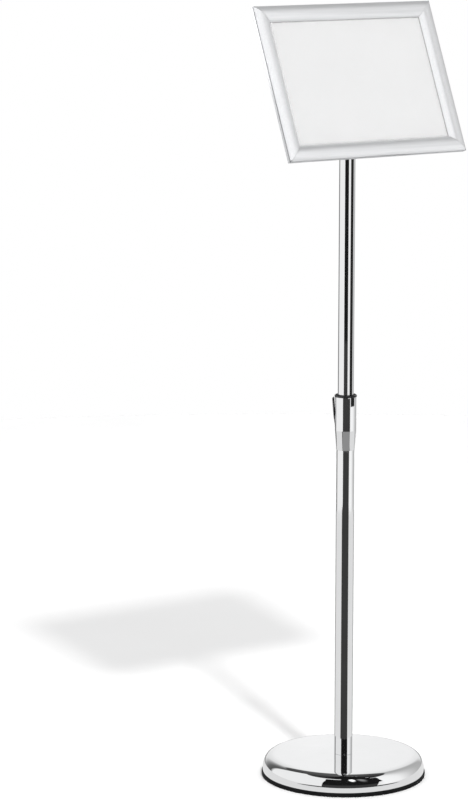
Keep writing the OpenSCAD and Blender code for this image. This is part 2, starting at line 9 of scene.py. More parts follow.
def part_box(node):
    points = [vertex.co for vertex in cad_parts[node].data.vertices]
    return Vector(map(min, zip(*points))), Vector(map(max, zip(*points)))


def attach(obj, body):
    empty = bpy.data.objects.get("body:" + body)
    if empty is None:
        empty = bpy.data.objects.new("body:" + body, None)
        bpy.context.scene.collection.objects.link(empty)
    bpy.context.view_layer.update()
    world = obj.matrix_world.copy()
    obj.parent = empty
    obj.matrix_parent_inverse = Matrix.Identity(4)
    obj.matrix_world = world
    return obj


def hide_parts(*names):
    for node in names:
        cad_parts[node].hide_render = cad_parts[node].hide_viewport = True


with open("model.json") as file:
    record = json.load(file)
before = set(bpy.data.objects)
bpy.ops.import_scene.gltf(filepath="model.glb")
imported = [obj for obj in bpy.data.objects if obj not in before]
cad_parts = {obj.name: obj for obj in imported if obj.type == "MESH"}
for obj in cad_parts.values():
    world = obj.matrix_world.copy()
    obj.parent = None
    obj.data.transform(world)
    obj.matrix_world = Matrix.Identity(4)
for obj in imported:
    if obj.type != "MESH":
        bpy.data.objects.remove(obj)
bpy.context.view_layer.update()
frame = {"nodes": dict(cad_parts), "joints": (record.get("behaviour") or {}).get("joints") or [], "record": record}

MM = 0.001
SIDES = ["bottom", "right", "top", "left"]
# Edges that turn by more than this many degrees stay sharp
SHARP = 32
# A corner of more than this many degrees is left as it is. A rounded one takes at most this share of a side
NEARLY_STRAIGHT = 172
MOST_OF_SIDE = 0.48
# Points closer than this become one
MERGE = 1e-4


# ---------- places from the frame, heights and radii in millimetres ----------

def joint(name):
    return next(j for j in frame["joints"] if j["name"] == name)


def top_of(node):
    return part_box(node)[1].z / MM


def foot_of(node):
    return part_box(node)[0].z / MM


def radius_of(node):
    low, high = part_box(node)
    return (high.x - low.x) / 2 / MM


def hinge_span(side_a, side_b):
    """Distance between the hinges of two opposite mouldings."""
    a = Vector(joint(f"flap_{side_a}_hinge")["pos_m"])
    b = Vector(joint(f"flap_{side_b}_hinge")["pos_m"])
    return (a - b).length / MM


PIVOT = Vector(joint("head_tilt")["pos_m"])
NORMAL = Vector(joint("frame_turn")["axis"])
ACROSS = Vector((1, 0, 0))
UP = NORMAL.cross(ACROSS)
SIGN = Matrix.Translation(PIVOT) @ Matrix((ACROSS, UP, NORMAL)).transposed().to_4x4()
# The moulding's hinge axis, inward from the outer edge and forward from the rail's rear face
HINGE_U = 2.0
HINGE_W = 6.9
HINGE = Vector((HINGE_U, HINGE_W))
SIGN_W = hinge_span("right", "left") + 2 * HINGE_U
SIGN_H = hinge_span("top", "bottom") + 2 * HINGE_U
RAIL_BACK = (Vector(joint("flap_top_hinge")["pos_m"]) - PIVOT).dot(NORMAL) / MM - HINGE_W
LEVER_AXIS = Vector(joint("lever_press")["axis"])
LEVER_TURN = math.atan2(LEVER_AXIS.x, -LEVER_AXIS.y)


# ---------- mesh helpers ----------

def rounded(points, radius, steps=4):
    """The closed outline with its corners eased. radius is one number, or one for each point."""
    radii = [radius] * len(points) if isinstance(radius, (int, float)) else radius
    result = []
    for i, r in enumerate(radii):
        before, here, after = (Vector(points[(i + k) % len(points)]) for k in (-1, 0, 1))
        back, on = before - here, after - here
        angle = back.angle(on)
        if r <= 0 or angle > math.radians(NEARLY_STRAIGHT):
            result.append(here)
            continue
        trim = min(r / math.tan(angle / 2), MOST_OF_SIDE * min(back.length, on.length))
        start, end = here + back.normalized() * trim, here + on.normalized() * trim
        for k in range(steps + 1):
            t = k / steps
            result.append(start.lerp(here, t).lerp(here.lerp(end, t), t))
    return result


def arc(centre, radius, start, end, steps):
    """Points on an arc, angles in degrees."""
    angles = (math.radians(start + (end - start) * k / steps) for k in range(steps + 1))
    return [Vector(centre) + radius * Vector((math.cos(a), math.sin(a))) for a in angles]


def supported(outline, near=0.35, longest=3):
    """Adds a point close to each end of a long straight run, so that its shading stays even."""
    result = []
    for k, here in enumerate(outline):
        here, after = Vector(here), Vector(outline[(k + 1) % len(outline)])
        result.append(here)
        if (after - here).length > longest:
            step = (after - here).normalized() * near
            result += [here + step, after - step]
    return result


def linked(name, data):
    """A new object of the data, in the scene."""
    obj = bpy.data.objects.new(name, data)
    bpy.context.scene.collection.objects.link(obj)
    return obj


def mesh_of(name, bm):
    """A new mesh from the bmesh, which is freed."""
    mesh = bpy.data.meshes.new(name)
    bm.to_mesh(mesh)
    bm.free()
    return mesh


def finished(name, bm, matrix=Matrix.Identity(4), sharp=SHARP):
    """A bmesh in millimetres becomes an object in metres, smooth but for its sharp edges."""
    bmesh.ops.remove_doubles(bm, verts=bm.verts, dist=MERGE)
    bmesh.ops.recalc_face_normals(bm, faces=bm.faces)
    mesh = mesh_of(name, bm)
    mesh.transform(matrix @ Matrix.Scale(MM, 4))
    mesh.shade_smooth()
    mesh.set_sharp_from_angle(angle=math.radians(sharp))
    return linked(name, mesh)


def lathe_bmesh(outline, steps):
    """Closed outline of (radius, height) points turned about Z."""
    bm = bmesh.new()
    outline = supported(outline)
    rings = []
    for i in range(steps):
        a = 2 * math.pi * i / steps
        rings.append([bm.verts.new((r * math.cos(a), r * math.sin(a), z)) for r, z in outline])
    count = len(outline)
    for i in range(steps):
        here, after = rings[i], rings[(i + 1) % steps]
        for k in range(count):
            n = (k + 1) % count
            on_axis = max(outline[k][0], outline[n][0]) < MERGE
            if not on_axis:
                bm.faces.new((here[k], after[k], after[n], here[n]))
    return bm


def lathe(name, outline, steps):
    return finished(name, lathe_bmesh(outline, steps))


def prism_bmesh(outline, half):
    """Closed outline of (x, z) points as a bar along Y, from -half to +half."""
    bm = bmesh.new()
    outline = supported(outline)
    near = [bm.verts.new((x, -half, z)) for x, z in outline]
    far = [bm.verts.new((x, half, z)) for x, z in outline]
    count = len(outline)
    for k in range(count):
        n = (k + 1) % count
        bm.faces.new((near[k], near[n], far[n], far[k]))
    bm.faces.new(near)
    bm.faces.new(far)
    return bm


def eased(bm, width, segments=3, angle=30):
    """Rounds the sharp edges of a bmesh."""
    bmesh.ops.recalc_face_normals(bm, faces=bm.faces)
    sharp = [e for e in bm.edges if e.is_manifold and e.calc_face_angle() > math.radians(angle)]
    bmesh.ops.bevel(bm, geom=sharp, offset=width, segments=segments, affect="EDGES", profile=0.5)
    return bm


def cut(obj, tool):
    """Takes the tool's shape out of obj and removes the tool."""
    step = obj.modifiers.new("cut", "BOOLEAN")
    step.operation = "DIFFERENCE"
    step.solver = "EXACT"
    step.object = tool
    mesh = bpy.data.meshes.new_from_object(obj.evaluated_get(bpy.context.evaluated_depsgraph_get()))
    mesh.set_sharp_from_angle(angle=math.radians(SHARP))
    obj.modifiers.clear()
    obj.data = mesh
    bpy.data.objects.remove(tool)


def dress(obj, body, slot, node, look=None):
    """Gives a new piece the look of its slot, or `look` where that is given, puts it under its body,
    and hides the CAD node that it stands for."""
    obj.data.materials.clear()
    obj.data.materials.append(look or LOOKS[slot])
    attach(obj, body)
    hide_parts(node)


# ---------- materials ----------

class Shader:
    """A Principled material and short ways to add nodes to it."""

    def __init__(self, name, **settings):
        self.material = bpy.data.materials.new(name)
        self.material.use_nodes = True
        self.tree = self.material.node_tree
        self.surface = self.tree.nodes["Principled BSDF"]
        self.place = self.add("ShaderNodeTexCoord").outputs["Object"]
        self.set(self.surface, settings)

    def set(self, node, inputs):
        """Sets a node's inputs, by name or number, to values or to other nodes' outputs."""
        for key, value in inputs.items():
            socket = node.inputs[key if isinstance(key, int) else key.replace("_", " ")]
            if isinstance(value, bpy.types.NodeSocket):
                self.tree.links.new(value, socket)
            else:
                socket.default_value = value

    def add(self, kind, inputs=None, **attributes):
        """A new node with its attributes and inputs."""
        node = self.tree.nodes.new(kind)
        for key, value in attributes.items():
            setattr(node, key, value)
        self.set(node, inputs or {})
        return node

    def noise(self, scale, detail, stretch=(1, 1, 1), turn=(0, 0, 0)):
        """Noise whose cells are `scale` to the metre, stretched along chosen axes."""
        mapping = self.add("ShaderNodeMapping", {"Vector": self.place, "Rotation": turn, "Scale": stretch})
        noise = self.add("ShaderNodeTexNoise", {
            "Vector": mapping.outputs["Vector"], "Scale": scale, "Detail": detail,
        })
        return noise.outputs["Fac"]

    def spread(self, value, low, high, source=(0.3, 0.7)):
        """Maps a noise value to the range low..high."""
        mapped = self.add("ShaderNodeMapRange", {
            "Value": value, "From_Min": source[0], "From_Max": source[1], "To_Min": low, "To_Max": high,
        })
        return mapped.outputs["Result"]

    def shades(self, value, dark, light):
        """Mixes two colours by a noise value."""
        inputs = {0: self.spread(value, 0, 1), 6: (*dark, 1), 7: (*light, 1)}
        return self.add("ShaderNodeMix", inputs, data_type="RGBA").outputs[2]

    def bump(self, height, strength, distance):
        """Raises the surface by a noise value, over a distance in metres."""
        node = self.add("ShaderNodeBump", {"Height": height, "Strength": strength, "Distance": distance})
        self.set(self.surface, {"Normal": node.outputs["Normal"]})


def chrome(name, tint=0.86):
    """Bright chrome plate: faint haze and hairline wipe marks."""
    s = Shader(name, Metallic=1.0)
    haze = s.noise(14, 4)
    wipes = s.noise(160, 2, stretch=(1, 1, 0.08))
    dull = (tint - 0.02, tint - 0.015, tint - 0.01)
    clear = (tint + 0.01, tint + 0.013, tint + 0.02)
    s.set(s.surface, {
        "Base_Color": s.shades(haze, dull, clear),
        "Roughness": s.spread(haze, 0.025, 0.055),
    })
    s.bump(wipes, 0.02, 0.00002)
    return s.material


def anodised(name, stretch, turn=(0, 0, 0)):
    """Satin anodised aluminium with fine lines along the moulding."""
    s = Shader(name, Metallic=0.5)
    lines = s.noise(900, 3, stretch=stretch, turn=turn)
    cloud = s.noise(22, 3)
    s.set(s.surface, {
        "Base_Color": s.shades(lines, (0.60, 0.605, 0.615), (0.66, 0.665, 0.675)),
        "Roughness": s.spread(cloud, 0.32, 0.38),
    })
    s.bump(lines, 0.12, 0.00004)
    return s.material


def metal(name, dark, light, rough, grain=260, bump=0.12):
    """Plated or bare metal with a cloudy tone and fine grain."""
    s = Shader(name, Metallic=1.0)
    cloud = s.noise(45, 4)
    fine = s.noise(grain * 4, 3)
    s.set(s.surface, {
        "Base_Color": s.shades(cloud, dark, light),
        "Roughness": s.spread(cloud, *rough),
    })
    s.bump(fine, bump, 0.00008)
    return s.material


def moulded(name, dark, light, rough, grain=1800, bump=0.25, shine=0.4):
    """Moulded plastic, rubber, lining or paper with a fine texture."""
    s = Shader(name, Metallic=0.0, Specular_IOR_Level=shine)
    cloud = s.noise(30, 3)
    fine = s.noise(grain, 4)
    s.set(s.surface, {
        "Base_Color": s.shades(cloud, dark, light),
        "Roughness": s.spread(fine, *rough),
    })
    s.bump(fine, bump, 0.00006)
    return s.material


def cast_iron(name):
    """Rough dark casting."""
    s = Shader(name, Metallic=0.6)
    coarse = s.noise(420, 5)
    cloud = s.noise(26, 4)
    s.set(s.surface, {
        "Base_Color": s.shades(cloud, (0.035, 0.035, 0.037), (0.075, 0.07, 0.066)),
        "Roughness": s.spread(coarse, 0.62, 0.85),
    })
    s.bump(coarse, 0.5, 0.0006)
    return s.material


def film(name):
    """Clear anti-glare sheet: mostly lets the poster show, with a fine matt grain."""
    s = Shader(name, Metallic=0.0, IOR=1.46)
    grain = s.noise(2600, 2)
    s.set(s.surface, {
        "Base_Color": s.shades(grain, (0.80, 0.80, 0.80), (0.84, 0.84, 0.845)),
        "Roughness": s.spread(grain, 0.42, 0.5),
        "Alpha": 0.3,
    })
    s.bump(grain, 0.08, 0.00003)
    return s.material


def painted(name):
    """Black enamel with a light orange-peel surface."""
    s = Shader(name, Metallic=0.0, Coat_Weight=0.3, Coat_Roughness=0.2)
    peel = s.noise(520, 2)
    cloud = s.noise(30, 3)
    s.set(s.surface, {
        "Base_Color": s.shades(cloud, (0.018, 0.018, 0.02), (0.03, 0.03, 0.032)),
        "Roughness": s.spread(peel, 0.30, 0.42),
    })
    s.bump(peel, 0.2, 0.0002)
    return s.material


SIGN_LEAN = math.atan2(NORMAL.z, -NORMAL.y)
LINE_STRETCH = 0.012
# A function for each look, and its values: for metal() and moulded(), the darker and the lighter colour,
# the range of roughness, then grain, bump and shine
RECIPES = {
    "polished_chrome": (chrome,),
    "rails_across": (anodised, (LINE_STRETCH, 1, 1)),
    "rails_up": (anodised, (1, 1, LINE_STRETCH), (SIGN_LEAN, 0, 0)),
    "black_rubber": (moulded, (0.006, 0.006, 0.006), (0.011, 0.011, 0.012), (0.5, 0.68), 1400, 0.35, 0.05),
    "black_plastic": (moulded, (0.014, 0.014, 0.015), (0.022, 0.022, 0.024), (0.34, 0.46), 1500, 0.2),
    "glossy_plastic": (moulded, (0.012, 0.012, 0.013), (0.018, 0.018, 0.02), (0.1, 0.16), 900, 0.05, 0.45),
    "white_nylon": (moulded, (0.66, 0.65, 0.61), (0.76, 0.75, 0.71), (0.35, 0.5)),
    "brake_lining": (moulded, (0.10, 0.05, 0.02), (0.22, 0.12, 0.06), (0.7, 0.85), 900, 0.5),
    "white_paper": (moulded, (0.815, 0.815, 0.815), (0.835, 0.835, 0.835), (0.7, 0.85), 2200, 0.15),
    "clear_sheet": (film,),
    "raw_cast_iron": (cast_iron,),
    "black_enamel": (painted,),
    "zinc_plated_steel": (metal, (0.50, 0.51, 0.53), (0.66, 0.67, 0.69), (0.22, 0.36)),
    "spring_steel": (metal, (0.22, 0.22, 0.24), (0.34, 0.34, 0.36), (0.28, 0.42)),
    "die_cast_zinc": (metal, (0.42, 0.43, 0.45), (0.55, 0.56, 0.58), (0.34, 0.5), 160, 0.3),
}
LOOKS = {name: recipe(name, *values) for name, (recipe, *values) in RECIPES.items()}
SLOT_OF = {row["node"]: row["material_slot"] for row in frame["record"]["subparts"]}


def look_for(node):
    """The finished material for a CAD node. Mouldings take their lines along their own length."""
    if node.startswith(("frame_rail_", "flap_")):
        return LOOKS["rails_across" if node.endswith(("top", "bottom")) else "rails_up"]
    return LOOKS[SLOT_OF[node]]


# ---------- base ----------

BASE_R = radius_of("base_edge_ring")
RING_H = top_of("base_edge_ring")
COVER_R = radius_of("base_cover")
COVER_TOP = top_of("base_cover")
COVER_T = 1.2
COVER_FOOT_Z = 1.5
COVER_RIM_Z = 8
COVER_HOLE_R = 5.5
SHOULDER_R = 104
SHOULDER_POWER = 2.5
CROWN_DROP = 0.5
CROWN_R = 40
# Edge ring: inner radius, the ledge under the bottom plate, and the seat of the plate's edge
RING_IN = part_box("base_bottom_plate")[1].x / MM + 0.1
RING_LEDGE = 2
RING_LEDGE_Z = 3.5
RING_SEAT_Z = 6
RING_DRAFT = 0.1
# Groove round the ring: height, half width, depth, and how far its edges stand in
GROOVE_Z = RING_H * 0.52
GROOVE_HALF = 0.35
GROOVE_D = 0.5
GROOVE_EDGE = 0.02
# Faces round the base and round the pole
BASE_STEPS = 256
POLE_STEPS = 192


def make_edge_ring():
    """Rubber ring with a groove round its outside."""
    outline = rounded([
        (RING_IN - RING_LEDGE, 0),
        (BASE_R - RING_DRAFT, 0),
        (BASE_R - GROOVE_EDGE, GROOVE_Z - GROOVE_HALF),
        (BASE_R - GROOVE_D, GROOVE_Z),
        (BASE_R - GROOVE_EDGE, GROOVE_Z + GROOVE_HALF),
        (BASE_R - RING_DRAFT, RING_H),
        (COVER_R, RING_H),
        (COVER_R, COVER_FOOT_Z),
        (COVER_R - COVER_T, COVER_FOOT_Z),
        (COVER_R - COVER_T, RING_SEAT_Z),
        (RING_IN, RING_SEAT_Z),
        (RING_IN, RING_LEDGE_Z),
        (RING_IN - RING_LEDGE, RING_LEDGE_Z),
    ], [0.5, 0.9, 0.2, 0.15, 0.2, 0.7, 0.2, 0, 0, 0.3, 0.3, 0, 0.3])
    ring = lathe("edge_ring", outline, BASE_STEPS)
    dress(ring, "stand", "black_rubber", "base_edge_ring")


def shoulder(inset, steps=40):
    """The cover's rounded shoulder, a superellipse from the rim to the crown."""
    width = COVER_R - inset - SHOULDER_R
    height = COVER_TOP - CROWN_DROP - inset - COVER_RIM_Z
    points = []
    for k in range(steps + 1):
        t = math.pi / 2 * (1 - k / steps)
        points.append((
            SHOULDER_R + width * math.sin(t) ** (2 / SHOULDER_POWER),
            COVER_RIM_Z + height * math.cos(t) ** (2 / SHOULDER_POWER),
        ))
    return points


def make_cover():
    """Spun cover: steep rim, rounded shoulder, and a nearly flat top."""
    under = COVER_TOP - COVER_T
    outline = [(COVER_R - COVER_T, COVER_FOOT_Z), (COVER_R, COVER_FOOT_Z)] + shoulder(0)
    outline += [(CROWN_R, COVER_TOP), (COVER_HOLE_R, COVER_TOP), (COVER_HOLE_R, under), (CROWN_R, under)]
    outline += shoulder(COVER_T)[::-1]
    cover = lathe("base_shell", outline, BASE_STEPS)
    dress(cover, "stand", "polished_chrome", "base_cover")


# ---------- pole ----------

TUBE_T = 1.2
TUBE_EASE = 0.3
TUBE_FOOT_EASE = 0.9
LOWER_R = radius_of("lower_tube")
UPPER_R = radius_of("upper_tube")
# Collar: its bore, the wall at the foot of its cone, and the length of its round body
COLLAR_R = radius_of("lock_collar")
COLLAR_TOP = top_of("lock_collar")
COLLAR_FOOT = foot_of("lock_collar")
COLLAR_BORE = 14.8
COLLAR_TIP = 0.2
COLLAR_LEN = 52
COLLAR_BODY_Z = COLLAR_TOP - COLLAR_LEN
# Cap ring: width and height of its bevel, and the gap round the upper tube at the funnel's foot
CAP_R = radius_of("collar_cap_ring")
CAP_TOP = top_of("collar_cap_ring")
CAP_BEVEL_W = 1.6
CAP_BEVEL_H = 1.2
CAP_FUNNEL = 1
# Lever: half its width, its top, its slot in the collar, its pin, and the barrel round the pin
LEVER_HALF = 3.5
LEVER_TOP = COLLAR_TOP - 0.6
SLOT_HALF = LEVER_HALF + 0.25
SLOT_Z = COLLAR_BODY_Z + 6
LEVER_PLACE = Matrix.Rotation(LEVER_TURN, 4, "Z")
LEVER_PIN = Vector((14.8, 0, joint("lever_press")["pos_m"][2] / MM))
BARREL_BORE = 1.05
BARREL_R = 2.1


def make_tube(name, node, radius, body):
    """Chrome tube with eased ends, rounder at the outside of its foot."""
    low, high = foot_of(node), top_of(node)
    outline = rounded([(radius - TUBE_T, low), (radius, low), (radius, high), (radius - TUBE_T, high)],
                      [TUBE_EASE, TUBE_FOOT_EASE, TUBE_EASE, TUBE_EASE])
    dress(lathe(name, outline, POLE_STEPS), body, "polished_chrome", node)


def make_collar():
    """Collar with its cone, eased edges, and the slot that the lever sits in."""
    step_z = top_of("lower_tube")
    outline = rounded([
        (LOWER_R, COLLAR_FOOT),
        (LOWER_R + COLLAR_TIP, COLLAR_FOOT),
        (COLLAR_R, COLLAR_BODY_Z),
        (COLLAR_R, COLLAR_TOP),
        (COLLAR_BORE, COLLAR_TOP),
        (COLLAR_BORE, step_z),
        (LOWER_R, step_z),
    ], [0, 0.1, 6, 0.5, 0.2, 0, 0], 8)
    collar = lathe("collar", outline, POLE_STEPS)
    inside, outside, over = 10, 30, COLLAR_TOP + 4
    tool = prism_bmesh([(inside, SLOT_Z), (outside, SLOT_Z), (outside, over), (inside, over)], SLOT_HALF)
    cut(collar, finished("slot_tool", tool, LEVER_PLACE))
    dress(collar, "stand", "polished_chrome", "lock_collar")


def make_cap_ring():
    """Rolled lip at the collar's top, with a funnel down to the upper tube."""
    spigot_z = foot_of("collar_cap_ring")
    outline = rounded([
        (COLLAR_BORE, spigot_z),
        (COLLAR_BORE, COLLAR_TOP),
        (CAP_R, COLLAR_TOP),
        (CAP_R, CAP_TOP - CAP_BEVEL_H),
        (CAP_R - CAP_BEVEL_W, CAP_TOP),
        (UPPER_R + CAP_FUNNEL, spigot_z),
    ], [0, 0.1, 0.5, 1.2, 0.7, 0.2], 6)
    lip = lathe("collar_lip", outline, POLE_STEPS)
    dress(lip, "stand", "black_plastic", "collar_cap_ring", LOOKS["glossy_plastic"])


def join_in(obj, other):
    """Adds another object's mesh to obj and removes the other object."""
    bm = bmesh.new()
    bm.from_mesh(obj.data)
    bm.from_mesh(other.data)
    bm.to_mesh(obj.data)
    bm.free()
    bpy.data.objects.remove(other)


def lever_line(points):
    """Outline in the lever's own plane, from (radius, height) with heights over the collar body's foot."""
    return [(radius, COLLAR_BODY_Z + height) for radius, height in points]


def make_lever():
    """Press lever with a barrel round its pin."""
    face = [(17.3, LEVER_TOP), (20.4, LEVER_TOP - 2.4)]
    back = lever_line([(18.7, 21), (17.5, 14), (16.7, 8), (14.4, 8), (14.4, 20), (17.3, 26)])
    outline = rounded(face + back, [0.3, 0.9, 8, 4, 0.6, 0.4, 1, 3], 6)
    bar = eased(prism_bmesh(outline, LEVER_HALF - 0.05), 0.35)
    lever = finished("lever", bar, LEVER_PLACE)
    barrel_line = [(BARREL_BORE, -LEVER_HALF), (BARREL_R, -LEVER_HALF), (BARREL_R, LEVER_HALF),
                   (BARREL_BORE, LEVER_HALF)]
    turn = LEVER_PLACE @ Matrix.Translation(LEVER_PIN * MM) @ Matrix.Rotation(math.pi / 2, 4, "X")
    join_in(lever, finished("barrel", lathe_bmesh(rounded(barrel_line, 0.2), 48), turn))
    dress(lever, "lever", "polished_chrome", "lock_lever")


def make_thumb_pad():
    """Pad over the lever's top and down its face."""
    edge = [(17.6, LEVER_TOP - 0.2), (18.3, LEVER_TOP - 0.05), (20.9, LEVER_TOP - 2.3)]
    tip = lever_line([(18.76, 21), (18.6, 21)])
    under = [(20.2, LEVER_TOP - 2.6), (17.9, LEVER_TOP - 0.9)]
    outline = rounded(edge + tip + under, [0.1, 0.2, 0.8, 0.1, 0.1, 0.4, 0.1], 5)
    pad = finished("thumb_pad", eased(prism_bmesh(outline, LEVER_HALF - 0.75), 0.2), LEVER_PLACE)
    dress(pad, "lever", "black_plastic", "lever_pad")


def make_lever_spring():
    """Torsion coil on the lever's pin, with a leg up the lever's back."""
    wire, coil_r, turns, half = 0.3, 1.45, 4.5, 1.45
    steps = 24
    path = []
    for k in range(int(turns * steps) + 1):
        a = 2 * math.pi * k / steps
        along = -half + 2 * half * k / (turns * steps)
        path.append(Vector((coil_r * math.cos(a), along, coil_r * math.sin(a))))
    path += [Vector((0.2, half - 0.7, 2.2)), Vector((0.2, half - 1.4, 4)), Vector((0.2, 0, 7.8))]
    curve = bpy.data.curves.new("lever_coil", "CURVE")
    curve.dimensions = "3D"
    curve.bevel_depth = wire * MM
    curve.bevel_resolution = 4
    curve.use_fill_caps = True
    spline = curve.splines.new("POLY")
    spline.points.add(len(path) - 1)
    for point, place in zip(spline.points, path):
        point.co = (*(LEVER_PLACE @ ((LEVER_PIN + place) * MM)), 1)
    dress(linked("lever_coil", curve), "lever", "spring_steel", "lever_spring")


# ---------- sign ----------

# Cross-sections are in (u, w): inward from the frame's outer edge, and forward from the rail's rear face
MITRE_GAP = 0.15
RAIL_W = 25
# Rail: floor plate, outer wall, neck, and the bead that the flap hinges on
FLOOR_W = 24
FLOOR_T = 1.3
WALL_H = 4.8
NECK_U = 4.3
NECK_W = 5.5
BEAD_R = 1.1
BEAD_ARC = (-28, 280)
# Flap: its hook round the bead, three points of its arch, its outer top corner, and its thinner inner lip
HOOK_IN = 1.15
HOOK_OUT = 2.0
HOOK_BACK_ARC = (42, -13)
HOOK_INSIDE_ARC = (-15, 178)
FLAP_T = 1.2
FLAP_POINTS = [(1.4, 8.8), (11.2, 11.8), (RAIL_W, 5.2)]
FLAP_CORNER = [(0.24, 7.85), (0.85, 8.75)]
LIP_T = 0.55
LIP_NOSE = Vector((-0.34, -0.44))
# Degrees of the arch that the lip takes, and where the arch's inside ends before the hook
LIP_TURN = 6.5
HOOK_TURN = 8
MOULDING_SHARP = 26


def circle_through(a, b, c):
    """Centre and radius of the circle through three points."""
    a, b, c = Vector(a), Vector(b), Vector(c)
    ab, ac = b - a, c - a
    d = 2 * (ab.x * ac.y - ab.y * ac.x)
    toward = Vector((ac.y * ab.dot(ab) - ab.y * ac.dot(ac), ab.x * ac.dot(ac) - ac.x * ab.dot(ab)))
    centre = a + toward / d
    return centre, (a - centre).length


def angle_to(centre, point):
    """Direction from the centre to the point, in degrees."""
    offset = Vector(point) - Vector(centre)
    return math.degrees(math.atan2(offset.y, offset.x))


def flap_outline():
    """Cross-section of a flap: the arched plate, and the hook round the bead."""
    centre, radius = circle_through(*FLAP_POINTS)
    start, end = (angle_to(centre, FLAP_POINTS[k]) for k in (0, 2))
    outer = arc(centre, radius, start, end, 26)
    under_lip = arc(centre, radius - LIP_T, end, end + LIP_TURN, 3)
    lip = rounded([outer[-1], outer[-1] + LIP_NOSE, *under_lip], [0.12, 0.12, 0, 0, 0, 0])
    inner = arc(centre, radius - FLAP_T, end + LIP_TURN + 1, start - HOOK_TURN, 24)
    hook_back = arc(HINGE, HOOK_OUT, *HOOK_BACK_ARC, 8)
    hook_inside = arc(HINGE, HOOK_IN, *HOOK_INSIDE_ARC, 22)
    hook_front = rounded([Vector((0, HINGE_W + 0.1)), *FLAP_CORNER], [0, 0.8, 0.3], 5)
    return outer[:-1] + lip + inner + hook_back + hook_inside + hook_front


def rail_outline():
    """Cross-section of a rail: outer wall with a lip toward the hook, neck, and hinge bead."""
    bead = arc(HINGE, BEAD_R, *BEAD_ARC, 22)
    foot = rounded([(0, 0), (FLOOR_W, 0), (FLOOR_W, FLOOR_T), (NECK_U, FLOOR_T), (NECK_U, NECK_W)],
                   [0.3, 0.3, 0.2, 0.2, 0.3])
    wall = [(HINGE_U + 0.15, WALL_H), (0.5, WALL_H), (0.12, WALL_H + 0.42), (0, WALL_H + 0.4)]
    return foot + bead + [Vector(p) for p in wall]


def moulding(name, outline, side, near):
    """Bar of one cross-section along a side of the frame. Its ends are mitred, and square where u < near."""
    outline = supported(outline)
    quarter = SIDES.index(side)
    length, reach = (SIGN_W, SIGN_H / 2) if quarter % 2 == 0 else (SIGN_H, SIGN_W / 2)
    bm = bmesh.new()
    ends = []
    for sign in (-1, 1):
        halves = [length / 2 - max(u, near) - MITRE_GAP for u, _ in outline]
        ends.append([bm.verts.new((sign * half, u, w)) for half, (u, w) in zip(halves, outline)])
    count = len(outline)
    for k in range(count):
        n = (k + 1) % count
        bm.faces.new((ends[0][k], ends[0][n], ends[1][n], ends[1][k]))
    for end in ends:
        bmesh.ops.triangulate(bm, faces=[bm.faces.new(end)])
    turn = Matrix.Rotation(math.pi / 2 * quarter, 4, "Z")
    shift = Matrix.Translation((0, -reach * MM, RAIL_BACK * MM))
    return finished(name, bm, SIGN @ turn @ shift, MOULDING_SHARP)


PANEL_T = 2.0
PANEL_FRONT = RAIL_BACK + FLOOR_T + PANEL_T
POSTER_T = 0.3
POSTER_INSET = 16
SHEET_T = 0.5
SHEET_INSET = 15


def make_sheet(name, node, inset, back, thick):
    """Flat sheet in the frame, `inset` short of the frame's outside all round."""
    bm = bmesh.new()
    bmesh.ops.create_cube(bm, size=1)
    bm.transform(Matrix.Diagonal((SIGN_W - 2 * inset, SIGN_H - 2 * inset, thick, 1)))
    eased(bm, thick / 5, 2)
    sheet = finished(name, bm, SIGN @ Matrix.Translation((0, 0, (back + thick / 2) * MM)), sharp=5)
    dress(sheet, "sign", SLOT_OF[node], node)


def make_sheets():
    make_sheet("poster_sheet", "poster", POSTER_INSET, PANEL_FRONT, POSTER_T)
    make_sheet("clear_cover", "cover_sheet", SHEET_INSET, PANEL_FRONT + POSTER_T, SHEET_T)


def make_mouldings():
    for side in SIDES:
        look = look_for("flap_" + side)
        rail = moulding("rail_" + side, rail_outline(), side, 0)
        dress(rail, "sign", "anodised_aluminium", "frame_rail_" + side, look)
        flap = moulding("moulding_" + side, flap_outline(), side, HINGE_U)
        dress(flap, "flap_" + side, "anodised_aluminium", "flap_" + side, look)


# ---------- CAD nodes that stay ----------

# Distances in metres
WELD_GAP = 1e-6
EDGE_EASE = 0.00025
EASE_OVER = math.radians(40)


def keep_nodes():
    """Every CAD node gets its material. Those that still show are welded and their edges eased."""
    for name, node in frame["nodes"].items():
        node.data.materials.clear()
        node.data.materials.append(look_for(name))
        if node.hide_render:
            continue
        weld = node.modifiers.new("weld", "WELD")
        weld.merge_threshold = WELD_GAP
        ease = node.modifiers.new("ease", "BEVEL")
        ease.width = EDGE_EASE
        ease.segments = 2
        ease.limit_method = "ANGLE"
        ease.angle_limit = EASE_OVER
        ease.harden_normals = True


# ---------- stage, light and camera ----------

# Camera: its turn about the pole, and its place and aim before that turn, in metres and radians
CAMERA_TURN = math.radians(-34.88)
CAMERA_AT = Vector((-0.1693, -4.7433, 1.4213))
CAMERA_PITCH = math.radians(9.894)
CAMERA_YAW = math.radians(0.023)
CAMERA_ROLL = math.radians(-0.052)
CAMERA_LENS = 141.38
CAMERA_SHIFT = (-0.0031, -0.0006)
# Key lamp, even light of the sky, pale floor, and light tent, with lengths in metres
KEY_AT = Vector((-0.598, -1.967, 3.321))
KEY_POWER = 16
KEY_RADIUS = 0.12
SKY = 0.86
FLOOR_R = 3.2
TENT_R = 2.0
TENT_H = 4.5
# Where the floor as the chrome sees it begins, in millimetres
FLOOR_LIGHT_R = 128
STAGE_STEPS = 96


def glossy_only(obj):
    """A studio card or tent that only shows as a reflection."""
    obj.visible_camera = False
    obj.visible_diffuse = False
    obj.visible_shadow = False
    obj.visible_transmission = False
    obj.visible_volume_scatter = False


